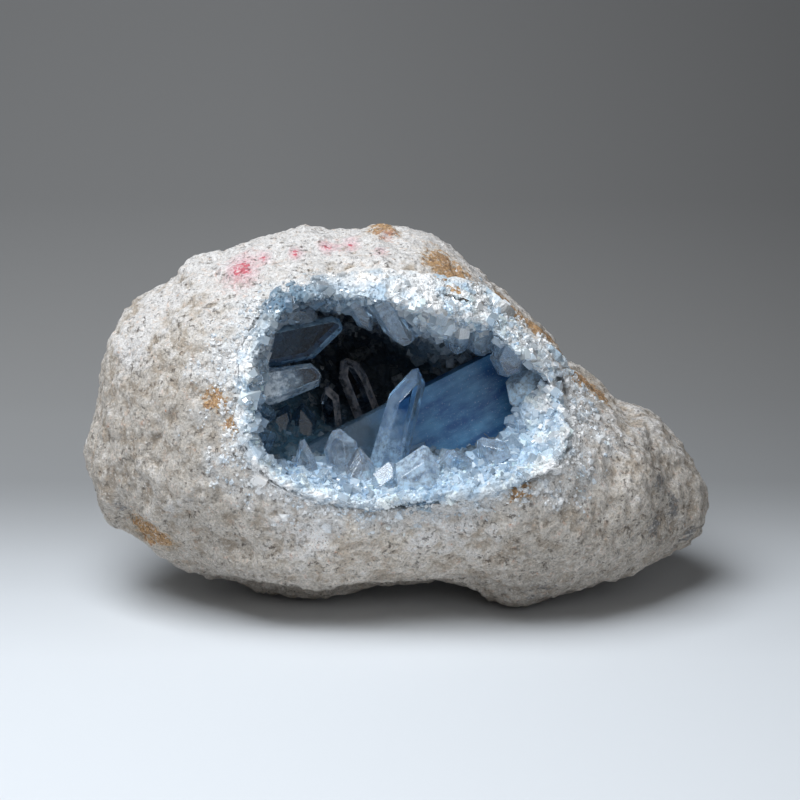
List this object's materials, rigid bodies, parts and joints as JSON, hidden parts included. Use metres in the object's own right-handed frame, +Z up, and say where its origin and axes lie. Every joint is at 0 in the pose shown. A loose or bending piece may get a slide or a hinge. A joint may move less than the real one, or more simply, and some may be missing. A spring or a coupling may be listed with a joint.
{
  "type": "celestite crystal cluster",
  "caption": "Pale limestone geode nodule, broken open on its front, with a hollow lined by blue bladed crystals and small sparkling crystals.",
  "frame": {"origin": "on the resting surface, under the middle of the nodule's box", "axes": "+Z up, +X along the nodule's length to its narrow end, -Y the side that the hollow opens to"},
  "size_m": [0.2806, 0.176, 0.1664],
  "materials": {
    "limestone": "rough pale limestone",
    "celestite": "clear to hazy pale blue crystal"
  },
  "bodies": {
    "root": {"geode_matrix": "limestone", "crystal_crust": "celestite"}
  },
  "joints": []
}
